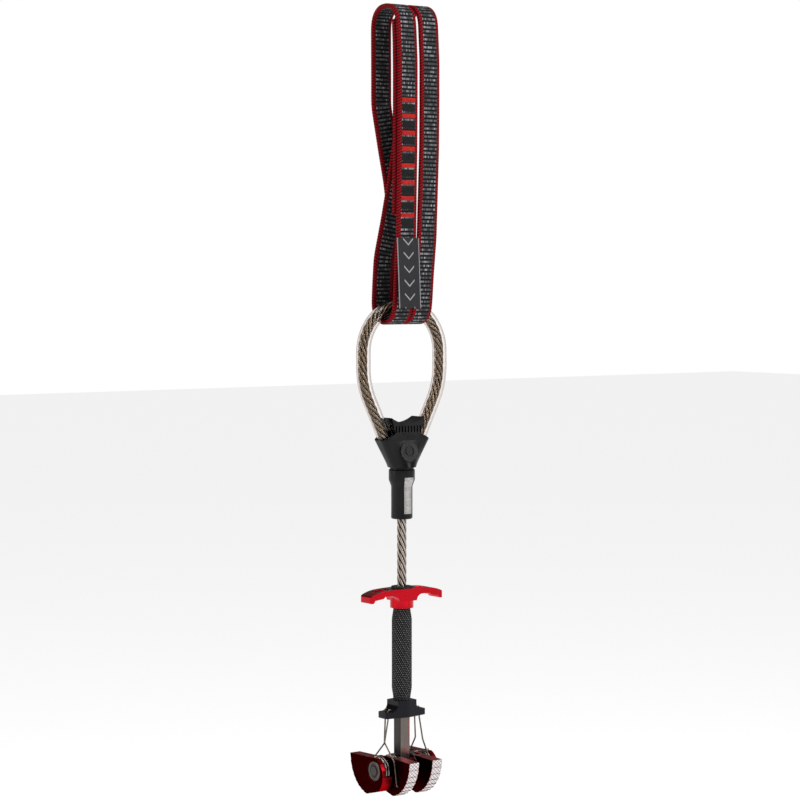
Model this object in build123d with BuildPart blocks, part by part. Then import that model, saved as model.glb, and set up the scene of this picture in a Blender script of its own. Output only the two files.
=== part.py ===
from build123d import *
import math
import os

# Spring loaded camming device: four spring driven lobes on one axle, a cable stem with a
# thumb loop, a trigger that slides on the stem and turns the lobes through four wires, and
# a double webbing sling that hangs the whole thing.
#
# Frame: Z runs up the stem, X runs along the axle, -Y is the front with the boot's label.
# The origin is the inside of the sling's top bend, where a carabiner hangs the device.
# Heights below are measured up from a datum just above the axle; up() moves them into the
# frame, and above_axle() does the same for heights measured from the axle's centre line.

os.makedirs("parts", exist_ok=True)

# ------------------------------------------------------------------ driving sizes, mm
hang_height = 388.9  # datum to the inside of the sling's top bend
axle_height = -1.9  # axle centre line against the datum
running_clearance = 0.05  # radial, on the axle and on the guide tube
side_gap = 0.3  # between parts that pass each other

# lobes
lobe_width = 6.2
lobe_tip_radius = 22.0
lobe_tip_angle = 16.5  # degrees above horizontal, lobes fully open
lobe_end_angle = -64.0
cam_angle = 17.0  # constant angle of the logarithmic spiral
tooth_count = 8
tooth_step = 0.35
hub_radius = 8.0  # behind the axle
hub_top = (-1.8, 6.9)  # corner where the flat top edge ends, from the axle
hub_heel = (-3.6, -10.3)  # corner where the flat bottom edge ends
hub_skin = 2.1  # wall left under the spring pocket
boss_wall = 1.7  # of each lobe's boss, round the axle
lobe_travel = 72.0  # degrees, open to retracted

# axle group
axle_radius = 2.5
axle_head_lip = 2.8  # from the axle out to the head's rim
axle_head_thickness = 1.1
axle_head_chamfer = 0.35
axle_head_play = 0.1  # between each head and the floor of its recess
head_recess_depth = 1.4  # recess in each outer lobe's outward face
rivet_height = 0.2
terminal_wall = 0.65  # beside the cable's bore
terminal_corner = 0.6
terminal_eye_wall = 2.5  # round the axle
centre_gap = 1.1  # between the terminal and each inner lobe
wire_gap = 1.4  # between the two lobes of a pair
spacer_play = 0.05

# torsion springs
spring_wire_radius = 0.42
spring_turns = 2
spring_pitch = 1.5
spring_radius = 7.3
tang_radius = 0.38
tang_depth = 1.5  # bore for the spring's tang in the skin

# trigger wires
wire_radius = 0.4
wire_hole_radius_on_lobe = 12.2  # from the axle
wire_hole_depth = 3.0
collar_hole_x = 9.7
collar_hole_y = 2.0
collar_hole_stagger = 0.55  # the two crossing wires' holes are staggered along X
wire_shoulder_height = 12.0  # where the wires leave the vertical
wire_elbow_y = 8.8
wire_elbow_height = 3.3
wire_hook_length = 1.7
wire_hook_lift = 0.7  # free height between a hook and the collar plate
wire_corner = 0.8
wire_drift = 1.2  # sideways lean of the upright run
wire_straight = 1.0  # straight run below the collar
wire_foot_length = 1.8  # length inside the lobe
wire_bends = (wire_corner, 6.0, 3.0, 3.0, wire_corner)

# wire collar
collar_bottom = 24.9
collar_plate = 3.2
collar_top = 33.6
collar_half_length = 12.6
collar_end_half_width = 3.6
collar_hub_radius = 5.9
collar_flare = 3.6  # radius of the concave flare from hub to plate
collar_corner = 0.8

# trigger bar
trigger_top = 91.8
trigger_hub_height = 10.2
trigger_half_length = 23.0
trigger_end_half_width = 4.6
trigger_hub_radius = 6.1
trigger_arm = 3.2
trigger_slot_length = 9.6
trigger_slot_width = 4.0
trigger_slot_depth = 1.6
trigger_slot_x = 13.4
trigger_slot_corner = 1.2
trigger_crown = 0.6  # how far the slot's floor sits below its depth at the hub
trigger_corner = 0.9
trigger_hub_edge = 0.2  # step between the bar's top and the round hub
trigger_underside = 6.4  # underside of the bar at the hub, below the top
trigger_tip_inset = 1.0
# top edge and end profile of the bar: inset from the end, drop below the top
trigger_end_profile = [
    (trigger_tip_inset, 2.4),
    (0.0, 3.2),
    (0.0, 6.1),
    (0.5, 6.4),
    (2.0, 6.3),
    (3.0, 4.9),
    (8.0, trigger_arm + 1.0),
    (9.0, trigger_arm),
]
trigger_flare_start = 3.0  # beyond the hub, where the underside curves down
trigger_flare_inset = 0.6

# stem and sleeve
cable_radius = 2.45
guide_wall = 1.25
sleeve_end_wall = 0.4  # sleeve over the guide tube at its ends
sleeve_mid_wall = 1.25  # and along its middle
sleeve_neck = 7.0
sleeve_seat = 2.5  # depth of the sleeve in each hub
guide_top_inset = 1.2  # the guide tube ends below the trigger's top
guide_bottom_gap = 0.8  # between the guide tube and the terminal
terminal_top = 30.4
terminal_bore_bottom = 9.0
bushing_radius = 5.6
bushing_flange = 0.9
bushing_chamfer = 0.3

# boot
boot_bottom = 127.7
boot_neck_height = 144.5
boot_shoulder_height = 148.0
boot_collar_top = 153.4
boot_fork_bottom = 154.4
boot_fork_height = 168.6
boot_peak_height = 180.3
boot_saddle_height = 177.2
boot_radius = 5.55
boot_collar_radius = 6.8
boot_groove_radius = 6.2
boot_fork_radius = 7.4
boot_fork_length = 30.0
boot_fork_depth = 11.5
boot_corner = 4.0
boot_lip = 0.5
boot_peak_x = 10.5
boot_rim_inner_x = 8.0  # inner end of each slanted socket rim
boot_rim_inner_height = 172.0
boot_slot_count = 9
boot_slot_pitch = 1.9
boot_slot_width = 0.9
boot_slot_depth = 0.6
boot_slot_bottom = 172.6
boot_slot_top = 176.0
emblem_height = 163.0
emblem_radius = 5.4
emblem_proud = 0.35
emblem_sunk = 1.2
emblem_groove_radius = 2.7
emblem_groove_width = 0.5
label_bottom = 130.5
label_top = 149.3
label_width = 4.5
label_thickness = 0.25

# thumb loop
loop_top = 238.0  # centre line
loop_radius = 24.2
loop_straight = 8.0
loop_side_radius = 38.0
loop_lean = 26.0  # degrees, legs against the vertical
tube_outer_radius = 3.65
tube_inner_radius = 3.1
tube_end_height = 166.0
loop_cable_end_height = 156.6
ferrule_bottom = 138.0
ferrule_waist = 152.0
ferrule_top = 160.5
ferrule_radius = 4.4
ferrule_top_length = 18.4
ferrule_top_depth = 8.4
stem_cable_top = 150.0

# sling
webbing_width = 12.0
webbing_thickness = 2.2
turn_gap = 1.0  # between the two turns of the sling
sling_bight_radius = 8.0  # inside, around the thumb loop's top
sling_cross_top = 340.0
sling_cross_bottom = 262.0
strand_near_y = 8.5  # centre of the back strand that starts on the -X turn
strand_far_y = 5.9
strand_near_low_y = 9.9
strand_far_low_y = 7.1
tack_count = 8
tack_pitch = 8.25
tack_top = 341.7
tack_height = 2.3
tack_width = 10.4
tack_proud = 0.5
tack_sunk = 0.2
lap_top = 350.0
lap_bottom = 281.0
tack_corner = 0.6
sling_back_rise = 14.0  # straight run of each back strand above the crossing
sling_back_top_y = 8.6  # outer corner of the top bend, at the back
sling_foot_run = 8.0  # straight run of each back strand below the crossing
bight_run = 6.0  # straight run above the thumb loop's top
bight_slack = 0.1
middle_y_of_minus_turn = 6.9  # back strands where they cross
middle_y_of_plus_turn = 4.1
lap_bend_height = 318.0
# front strands from the top bend down: Y and height
front_top_y = -13.2
front_course = [(-14.4, 362.0), (-14.2, lap_bend_height), (-12.6, 272.0)]
# bend radii along one turn, from its back strand over the top to its other back strand
top_bends = (30, 9.5, 9.5, 120, 120, 60, 40)
foot_bends = (12, 12)
tag_top = 272.2
tag_bottom = 236.4
tag_width = 14.0
tag_thickness = 0.7
tag_lean = 1.6


def up(height):
    return height - hang_height


def above_axle(height):
    return up(axle_height + height)


# ------------------------------------------------------------------ sizes that follow
boss_radius = axle_radius + boss_wall
axle_head_radius = axle_radius + axle_head_lip
terminal_eye_radius = axle_radius + terminal_eye_wall
terminal_width = 2 * (cable_radius + terminal_wall)  # square bar
guide_inner_radius = cable_radius + side_gap
guide_outer_radius = guide_inner_radius + guide_wall
sleeve_end_radius = guide_outer_radius + sleeve_end_wall
sleeve_mid_radius = guide_outer_radius + sleeve_mid_wall

# ------------------------------------------------------------------ positions along the axle
inner_lobe_start = terminal_width / 2 + centre_gap
inner_lobe_end = inner_lobe_start + lobe_width
outer_lobe_start = inner_lobe_end + wire_gap
outer_lobe_end = outer_lobe_start + lobe_width
wire_plane_x = inner_lobe_end + wire_gap / 2

# where the wires meet the lobes, and how far the trigger travels for the lobes' travel
# the hole swings as far above the axle as below it, so the foot moves straight up
wire_hole_angle = -lobe_travel / 2
hole_start = math.radians(wire_hole_angle)
trigger_travel = -2 * wire_hole_radius_on_lobe * math.sin(hole_start)
hole_rest_y = wire_hole_radius_on_lobe * math.cos(hole_start)
wire_foot_y = (hole_rest_y + wire_hole_radius_on_lobe) / 2
wire_foot_height = axle_height + wire_hole_radius_on_lobe * math.sin(hole_start)
wire_hole_radius = wire_radius + wire_foot_y - hole_rest_y + side_gap
print("trigger travel", round(trigger_travel, 3), "wire hole radius", round(wire_hole_radius, 3))


def finish(builder, name):
    builder.part.label = name
    export_step(builder.part, "parts/" + name + ".step")


# ------------------------------------------------------------------ lobes
def spiral(angle, inset=0.0):
    growth = math.tan(math.radians(cam_angle))
    radius = lobe_tip_radius * math.exp(math.radians(angle - lobe_tip_angle) * growth) - inset
    return (radius * math.cos(math.radians(angle)), radius * math.sin(math.radians(angle)))


def circle_point(radius, angle):
    return (radius * math.cos(math.radians(angle)), radius * math.sin(math.radians(angle)))


def tooth_points():
    pitch = (lobe_end_angle - lobe_tip_angle) / tooth_count
    points = [spiral(lobe_tip_angle)]
    for tooth in range(1, tooth_count):
        angle = lobe_tip_angle + tooth * pitch
        points.append(spiral(angle, tooth_step))
        points.append(spiral(angle))
    points.append(spiral(lobe_end_angle))
    return points


def lobe_outline():
    with BuildLine() as outline:
        Polyline(*tooth_points())
        Line(spiral(lobe_tip_angle), hub_top)
        ThreePointArc(hub_top, (-hub_radius, (hub_top[1] + hub_heel[1]) / 2), hub_heel)
        Line(hub_heel, spiral(lobe_end_angle))
    make_face(outline.edges())


def across_axle(x, side=1):
    # a plane across the axle whose first axis points to +Y or, for side -1, to -Y
    return Plane(origin=(x, 0, above_axle(0)), x_dir=(0, side, 0), z_dir=(side, 0, 0))


def spring_coil_line(pocket_start):
    coil_start = pocket_start + (lobe_width - hub_skin - spring_turns * spring_pitch) / 2
    with BuildLine() as coil:
        Helix(
            pitch=spring_pitch,
            height=spring_turns * spring_pitch,
            radius=spring_radius,
            center=(coil_start, 0, above_axle(0)),
            direction=(1, 0, 0),
        )
    return coil.wire()


def make_lobe(name, low_x, side, skin_low, hole_low, recess_x):
    start_x = low_x if side > 0 else low_x + lobe_width
    pocket_start = low_x + hub_skin if skin_low else low_x
    pocket_depth = lobe_width - hub_skin
    coil = spring_coil_line(pocket_start)
    tang_from = coil @ 0 if skin_low else coil @ 1
    tang_slot_x = pocket_start - tang_depth if skin_low else pocket_start + pocket_depth
    hole_start_x = low_x if hole_low else low_x + lobe_width - wire_hole_depth
    hole_y, hole_z = circle_point(wire_hole_radius_on_lobe, wire_hole_angle)
    with BuildPart() as lobe:
        with BuildSketch(across_axle(start_x, side)):
            lobe_outline()
        extrude(amount=lobe_width)
        with BuildSketch(across_axle(pocket_start)):
            Circle(hub_radius + side_gap)
            Circle(boss_radius, mode=Mode.SUBTRACT)
        extrude(amount=pocket_depth, mode=Mode.SUBTRACT)
        with BuildSketch(across_axle(low_x)):
            Circle(axle_radius + running_clearance)
        extrude(amount=lobe_width, mode=Mode.SUBTRACT)
        with BuildSketch(across_axle(tang_slot_x)):
            with Locations((tang_from.Y, tang_from.Z - above_axle(0))):
                Circle(spring_wire_radius)
        extrude(amount=tang_depth, mode=Mode.SUBTRACT)
        with BuildSketch(across_axle(hole_start_x)):
            with Locations((side * hole_y, hole_z)):
                Circle(wire_hole_radius)
        extrude(amount=wire_hole_depth, mode=Mode.SUBTRACT)
        if recess_x is not None:
            with BuildSketch(across_axle(recess_x)):
                Circle(axle_head_radius + side_gap)
            extrude(amount=head_recess_depth, mode=Mode.SUBTRACT)
    finish(lobe, name)


def make_spring(name, low_x, skin_low):
    pocket_start = low_x + hub_skin if skin_low else low_x
    coil = spring_coil_line(pocket_start)
    tang_from = coil @ 0 if skin_low else coil @ 1
    tang_direction = -1 if skin_low else 1
    free_end = coil @ 1 if skin_low else coil @ 0
    inward = Vector(0, -free_end.Y, above_axle(0) - free_end.Z)
    tang_reach = tang_depth + (lobe_width - hub_skin - spring_turns * spring_pitch) / 2
    with BuildPart() as spring:
        with BuildSketch(Plane(origin=coil @ 0, z_dir=coil % 0)):
            Circle(spring_wire_radius)
        sweep(path=coil, is_frenet=True)
        with BuildSketch(Plane(origin=tang_from, z_dir=(tang_direction, 0, 0)).offset(-tang_radius / 2)):
            Circle(tang_radius)
        extrude(amount=tang_reach + tang_radius / 2)
        with BuildSketch(Plane(origin=free_end, z_dir=inward).offset(-tang_radius / 2)):
            Circle(tang_radius)
        extrude(amount=spring_radius - boss_radius - side_gap)
    finish(spring, name)


# number, lowest X, tip side, skin on the low-X side, wire hole on the low-X side, and the
# lowest X of the recess for the axle's head
lobes = [
    (1, -outer_lobe_end, 1, True, False, -outer_lobe_end),
    (2, -inner_lobe_end, -1, True, True, None),
    (3, inner_lobe_start, -1, False, False, None),
    (4, outer_lobe_start, 1, False, True, outer_lobe_end - head_recess_depth),
]
for number, low_x, side, skin_low, hole_low, recess_x in lobes:
    make_lobe(f"cam_lobe_{number}", low_x, side, skin_low, hole_low, recess_x)
    make_spring(f"lobe_spring_{number}", low_x, skin_low)

# ------------------------------------------------------------------ axle group
head_inner_x = outer_lobe_end - head_recess_depth + axle_head_play
head_outer_x = head_inner_x + axle_head_thickness

with BuildPart() as axle:
    with BuildSketch(across_axle(-head_outer_x - rivet_height)):
        Circle(axle_radius)
    extrude(amount=2 * (head_outer_x + rivet_height))
    chamfer(axle.faces().sort_by(Axis.X)[0].edges(), rivet_height / 2)
    chamfer(axle.faces().sort_by(Axis.X)[-1].edges(), rivet_height / 2)
finish(axle, "axle")

with BuildPart() as axle_heads:
    for start_x in (-head_outer_x, head_inner_x):
        with BuildSketch(across_axle(start_x)):
            Circle(axle_head_radius)
            Circle(axle_radius, mode=Mode.SUBTRACT)
        extrude(amount=axle_head_thickness)
    rims = axle_heads.edges().filter_by(GeomType.CIRCLE).sort_by(SortBy.RADIUS)[-4:]
    outer_rims = rims.sort_by(Axis.X)
    chamfer([outer_rims[0], outer_rims[-1]], axle_head_chamfer)
finish(axle_heads, "axle_heads")

# one spacer in every gap along the axle, each with a little end play
spacers = [
    (-outer_lobe_start, wire_gap),
    (-inner_lobe_start, centre_gap),
    (terminal_width / 2, centre_gap),
    (inner_lobe_end, wire_gap),
]
with BuildPart() as lobe_spacers:
    for start_x, width in spacers:
        with BuildSketch(across_axle(start_x + spacer_play)):
            Circle(boss_radius)
            Circle(axle_radius, mode=Mode.SUBTRACT)
        extrude(amount=width - 2 * spacer_play)
finish(lobe_spacers, "lobe_spacers")

terminal_half = terminal_width / 2
terminal_diagonal = (terminal_half - terminal_corner) * math.sqrt(2) + terminal_corner
with BuildPart() as stem_terminal:
    with BuildSketch(Plane.XY.offset(above_axle(0))):
        RectangleRounded(terminal_width, terminal_width, terminal_corner)
    extrude(amount=terminal_top - axle_height)
    with BuildSketch(across_axle(-terminal_half)):
        Circle(terminal_eye_radius)
    extrude(amount=terminal_width)
    with BuildSketch(across_axle(-terminal_half)):
        Circle(axle_radius)
    extrude(amount=terminal_width, mode=Mode.SUBTRACT)
    with BuildSketch(Plane.XY.offset(up(terminal_bore_bottom))):
        Circle(cable_radius)
    extrude(amount=terminal_top - terminal_bore_bottom, mode=Mode.SUBTRACT)
finish(stem_terminal, "stem_terminal")

with BuildPart() as stem_cable:
    with BuildSketch(Plane.XY.offset(up(terminal_bore_bottom))):
        Circle(cable_radius)
    extrude(amount=stem_cable_top - terminal_bore_bottom)
finish(stem_cable, "stem_cable")


# ------------------------------------------------------------------ thumb loop
def loop_line(end_height):
    # the loop's centre line in the XZ plane, from the left leg's end round to the right leg's
    lean = math.radians(loop_lean)
    arc_centre = loop_top - loop_radius
    side_top = arc_centre - loop_straight
    leg_x = loop_radius - loop_side_radius * (1 - math.cos(lean))
    leg_height = side_top - loop_side_radius * math.sin(lean)
    end_x = leg_x - math.tan(lean) * (leg_height - end_height)
    with BuildLine(Plane.XZ) as loop:
        Line((-end_x, up(end_height)), (-leg_x, up(leg_height)))
        TangentArc(
            (-leg_x, up(leg_height)),
            (-loop_radius, up(side_top)),
            tangent=(-math.sin(lean), math.cos(lean)),
        )
        Line((-loop_radius, up(side_top)), (-loop_radius, up(arc_centre)))
        CenterArc((0, up(arc_centre)), loop_radius, 180, -180)
        Line((loop_radius, up(arc_centre)), (loop_radius, up(side_top)))
        TangentArc((loop_radius, up(side_top)), (leg_x, up(leg_height)), tangent=(0, -1))
        Line((leg_x, up(leg_height)), (end_x, up(end_height)))
    return loop.wire()


tube_line = loop_line(tube_end_height)
loop_cable_line = loop_line(loop_cable_end_height)

with BuildPart() as thumb_loop_cable:
    with BuildSketch(Plane(origin=loop_cable_line @ 0, z_dir=loop_cable_line % 0)):
        Circle(cable_radius)
    sweep(path=loop_cable_line)
finish(thumb_loop_cable, "thumb_loop_cable")

with BuildPart() as thumb_loop_tube:
    with BuildSketch(Plane(origin=tube_line @ 0, z_dir=tube_line % 0)):
        Circle(tube_outer_radius)
        Circle(tube_inner_radius, mode=Mode.SUBTRACT)
    sweep(path=tube_line)
finish(thumb_loop_tube, "thumb_loop_tube")

with BuildPart() as thumb_loop_space:
    # the tube with its bore filled, used only to cut the boot
    with BuildSketch(Plane(origin=tube_line @ 0, z_dir=tube_line % 0)):
        Circle(tube_outer_radius)
    sweep(path=tube_line)

with BuildPart() as swage_ferrule:
    with BuildSketch(Plane.XY.offset(up(ferrule_bottom))):
        Circle(ferrule_radius)
    extrude(amount=ferrule_waist - ferrule_bottom)
    with BuildSketch(Plane.XY.offset(up(ferrule_waist))):
        Circle(ferrule_radius)
    with BuildSketch(Plane.XY.offset(up(ferrule_top))):
        RectangleRounded(ferrule_top_length, ferrule_top_depth, ferrule_top_depth / 3)
    loft()
    add(stem_cable.part, mode=Mode.SUBTRACT)
    add(thumb_loop_cable.part, mode=Mode.SUBTRACT)
finish(swage_ferrule, "swage_ferrule")

# ------------------------------------------------------------------ boot
boot_slots_x = [(index - (boot_slot_count - 1) / 2) * boot_slot_pitch for index in range(boot_slot_count)]
boot_half_depth = boot_fork_depth / 2
boot_half_length = boot_fork_length / 2
fork_rise = boot_fork_height - boot_fork_bottom
face_tilt = math.degrees(math.atan((boot_fork_radius - boot_half_depth) / fork_rise))
emblem_share = (emblem_height - boot_fork_bottom) / fork_rise
emblem_y = boot_fork_radius + (boot_half_depth - boot_fork_radius) * emblem_share
emblem_plane = Plane(
    origin=(0, -emblem_y, up(emblem_height)),
    x_dir=(1, 0, 0),
    z_dir=(0, -math.cos(math.radians(face_tilt)), math.sin(math.radians(face_tilt))),
)

with BuildPart() as boot:
    # the head with its slanted socket rims, its two peaks and the saddle between them
    with BuildSketch(Plane.XZ):
        with BuildLine():
            Polyline(
                (-boot_peak_x, up(boot_peak_height)),
                (-boot_rim_inner_x, up(boot_rim_inner_height)),
                (-boot_half_length, up(boot_fork_height)),
                (boot_half_length, up(boot_fork_height)),
                (boot_rim_inner_x, up(boot_rim_inner_height)),
                (boot_peak_x, up(boot_peak_height)),
            )
            ThreePointArc(
                (boot_peak_x, up(boot_peak_height)),
                (0, up(boot_saddle_height)),
                (-boot_peak_x, up(boot_peak_height)),
            )
        make_face()
    extrude(amount=boot_half_depth, both=True)
    with BuildSketch(Plane.XY.offset(up(boot_fork_height))):
        RectangleRounded(boot_fork_length, boot_fork_depth, boot_corner)
    extrude(amount=boot_peak_height - boot_fork_height, mode=Mode.INTERSECT)
    # the flare under the head
    with BuildSketch(Plane.XY.offset(up(boot_fork_bottom))):
        Circle(boot_fork_radius)
    with BuildSketch(Plane.XY.offset(up(boot_fork_height))):
        RectangleRounded(boot_fork_length, boot_fork_depth, boot_corner)
    loft()
    # the neck and its collar
    with BuildSketch(Plane.XZ):
        with BuildLine():
            Polyline(
                (0, up(boot_bottom)),
                (boot_radius - boot_lip, up(boot_bottom)),
                (boot_radius, up(boot_bottom + boot_lip)),
                (boot_radius, up(boot_neck_height)),
                (boot_collar_radius, up(boot_shoulder_height)),
                (boot_collar_radius, up(boot_collar_top - boot_lip)),
                (boot_collar_radius - boot_lip, up(boot_collar_top)),
                (boot_groove_radius, up(boot_collar_top)),
                (boot_groove_radius, up(boot_fork_bottom)),
                (0, up(boot_fork_bottom)),
                close=True,
            )
        make_face()
    revolve(axis=Axis.Z)
    # grip slots below the saddle, front and back
    for face_y in (-boot_half_depth, boot_half_depth):
        with BuildSketch(Plane.XZ.offset(-face_y - boot_slot_depth)):
            for slot_x in boot_slots_x:
                with Locations((slot_x, up((boot_slot_bottom + boot_slot_top) / 2))):
                    Rectangle(boot_slot_width, boot_slot_top - boot_slot_bottom)
        extrude(amount=2 * boot_slot_depth, mode=Mode.SUBTRACT)
    # plain raised disc with one ring groove on the front
    with BuildSketch(emblem_plane.offset(-emblem_sunk)):
        Circle(emblem_radius)
    extrude(amount=emblem_sunk + emblem_proud)
    with BuildSketch(emblem_plane):
        Circle(emblem_groove_radius)
        Circle(emblem_groove_radius - emblem_groove_width, mode=Mode.SUBTRACT)
    extrude(amount=2 * emblem_proud, mode=Mode.SUBTRACT)
    add(stem_cable.part, mode=Mode.SUBTRACT)
    add(thumb_loop_cable.part, mode=Mode.SUBTRACT)
    add(thumb_loop_space.part, mode=Mode.SUBTRACT)
    add(swage_ferrule.part, mode=Mode.SUBTRACT)
finish(boot, "boot")

label_half_angle = math.degrees(label_width / 2 / boot_radius)
label_start = math.radians(-90 - label_half_angle)
label_plane = Plane(
    origin=(0, 0, 0),
    x_dir=(math.cos(label_start), math.sin(label_start), 0),
    z_dir=(math.sin(label_start), -math.cos(label_start), 0),
)
with BuildPart() as boot_label:
    with BuildSketch(label_plane):
        with BuildLine():
            Polyline(
                (boot_radius, up(label_bottom)),
                (boot_radius + label_thickness, up(label_bottom)),
                (boot_radius + label_thickness, up(boot_neck_height)),
                (boot_collar_radius + label_thickness, up(boot_shoulder_height)),
                (boot_collar_radius + label_thickness, up(label_top)),
                (boot_collar_radius, up(label_top)),
                (boot_collar_radius, up(boot_shoulder_height)),
                (boot_radius, up(boot_neck_height)),
                close=True,
            )
        make_face()
    revolve(axis=Axis.Z, revolution_arc=2 * label_half_angle)
finish(boot_label, "boot_label")

# ------------------------------------------------------------------ wire collar
def hub_and_ends(hub_radius_here, half_length, end_half_width):
    # plan outline: a round hub drawn out to two flat ends
    with BuildLine() as plan:
        Line((-half_length, -end_half_width), (-half_length, end_half_width))
        Line((half_length, -end_half_width), (half_length, end_half_width))
        CenterArc((0, 0), hub_radius_here, 0, 360)
    make_hull(plan.edges())


# the wires of lobes 1 and 2 cross each other under the plate, the other two do not
wire_holes = [
    (-collar_hole_x - collar_hole_stagger, -collar_hole_y),
    (-collar_hole_x + collar_hole_stagger, collar_hole_y),
    (collar_hole_x, -collar_hole_y),
    (collar_hole_x, collar_hole_y),
]
plate_top = collar_bottom + collar_plate
with BuildPart() as wire_collar:
    # hub, flares and plate in side view, cut to the plan outline
    with BuildSketch(Plane.XZ):
        with BuildLine():
            Polyline(
                (0, up(collar_bottom)),
                (0, up(collar_top)),
                (collar_hub_radius, up(collar_top)),
                (collar_hub_radius, up(plate_top + collar_flare)),
            )
            TangentArc(
                (collar_hub_radius, up(plate_top + collar_flare)),
                (collar_hub_radius + collar_flare, up(plate_top)),
                tangent=(0, -1),
            )
            Polyline(
                (collar_hub_radius + collar_flare, up(plate_top)),
                (collar_half_length, up(plate_top)),
                (collar_half_length, up(collar_bottom)),
                (0, up(collar_bottom)),
            )
        make_face()
        mirror(about=Plane.YZ)
    extrude(amount=collar_hub_radius, both=True)
    with BuildSketch(Plane.XY.offset(up(collar_bottom))):
        hub_and_ends(collar_hub_radius, collar_half_length, collar_end_half_width)
    extrude(amount=collar_top - collar_bottom, mode=Mode.INTERSECT)
    plate_corners = wire_collar.edges().filter_by(Axis.Z).filter_by(
        lambda edge: abs(edge.center().X) > collar_half_length - side_gap
    )
    fillet(plate_corners, collar_corner)
    with BuildSketch(Plane.XY.offset(up(collar_bottom))):
        Circle(terminal_diagonal + side_gap)
    extrude(amount=collar_top - collar_bottom, mode=Mode.SUBTRACT)
    with BuildSketch(Plane.XY.offset(up(collar_top - sleeve_seat))):
        Circle(sleeve_end_radius)
    extrude(amount=sleeve_seat, mode=Mode.SUBTRACT)
    with BuildSketch(Plane.XY.offset(up(collar_bottom))):
        with Locations(*wire_holes):
            Circle(wire_radius)
    extrude(amount=collar_top - collar_bottom, mode=Mode.SUBTRACT)
finish(wire_collar, "wire_collar")

# ------------------------------------------------------------------ trigger bar
trigger_hub_bottom = trigger_top - trigger_hub_height


def below_trigger_top(drop):
    return up(trigger_top - drop)


trigger_end_points = [
    (trigger_half_length - inset, below_trigger_top(drop)) for inset, drop in trigger_end_profile
]
flare_start_x = trigger_hub_radius + trigger_flare_start
flare_end_x = trigger_hub_radius - trigger_flare_inset
with BuildPart() as trigger_bar:
    with BuildSketch(Plane.XZ):
        with BuildLine():
            Spline(
                (0, below_trigger_top(0)),
                (trigger_half_length * 0.5, below_trigger_top(0.25)),
                (trigger_half_length * 0.8, below_trigger_top(1.15)),
                trigger_end_points[0],
                tangents=[(1, 0), (1, -0.42)],
            )
            Polyline(*trigger_end_points, (flare_start_x, below_trigger_top(trigger_arm)))
            TangentArc(
                (flare_start_x, below_trigger_top(trigger_arm)),
                (flare_end_x, below_trigger_top(trigger_underside)),
                tangent=(-1, 0),
            )
            Polyline(
                (flare_end_x, below_trigger_top(trigger_underside)),
                (0, below_trigger_top(trigger_underside)),
                (0, below_trigger_top(0)),
            )
        make_face()
        mirror(about=Plane.YZ)
    extrude(amount=trigger_hub_radius, both=True)
    with BuildSketch(Plane.XY.offset(up(trigger_hub_bottom))):
        hub_and_ends(trigger_hub_radius, trigger_half_length, trigger_end_half_width)
    extrude(amount=trigger_hub_height, mode=Mode.INTERSECT)
    bar_corners = trigger_bar.edges().filter_by(Axis.Z).filter_by(
        lambda edge: abs(edge.center().X) > trigger_half_length - side_gap
    )
    fillet(bar_corners, trigger_corner)
    with BuildSketch(Plane.XY.offset(up(trigger_hub_bottom))):
        Circle(trigger_hub_radius)
    extrude(amount=trigger_hub_height - trigger_hub_edge)
    with BuildSketch(Plane.XY.offset(below_trigger_top(trigger_slot_depth + trigger_crown))):
        with Locations((trigger_slot_x, 0), (-trigger_slot_x, 0)):
            RectangleRounded(trigger_slot_length, trigger_slot_width, trigger_slot_corner)
    extrude(amount=trigger_slot_depth + trigger_crown, mode=Mode.SUBTRACT)
    with BuildSketch(Plane.XY.offset(up(trigger_hub_bottom))):
        Circle(guide_outer_radius)
    extrude(amount=trigger_hub_height, mode=Mode.SUBTRACT)
    with BuildSketch(Plane.XY.offset(up(trigger_hub_bottom))):
        Circle(sleeve_end_radius)
    extrude(amount=sleeve_seat, mode=Mode.SUBTRACT)
finish(trigger_bar, "trigger_bar")

guide_top = trigger_top - guide_top_inset
guide_bottom = terminal_top + guide_bottom_gap

with BuildPart() as guide_tube:
    with BuildSketch(Plane.XY.offset(up(guide_bottom))):
        Circle(guide_outer_radius)
        Circle(guide_inner_radius, mode=Mode.SUBTRACT)
    extrude(amount=guide_top - guide_bottom)
finish(guide_tube, "guide_tube")

with BuildPart() as trigger_bushing:
    with BuildSketch(Plane.XY.offset(up(guide_top))):
        Circle(guide_outer_radius)
    extrude(amount=trigger_top - guide_top)
    with BuildSketch(Plane.XY.offset(up(trigger_top))):
        Circle(bushing_radius)
    extrude(amount=bushing_flange)
    chamfer(trigger_bushing.faces().sort_by(Axis.Z)[-1].edges(), bushing_chamfer)
    with BuildSketch(Plane.XY.offset(up(guide_top))):
        Circle(guide_inner_radius)
    extrude(amount=trigger_top + bushing_flange - guide_top, mode=Mode.SUBTRACT)
finish(trigger_bushing, "trigger_bushing")

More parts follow.
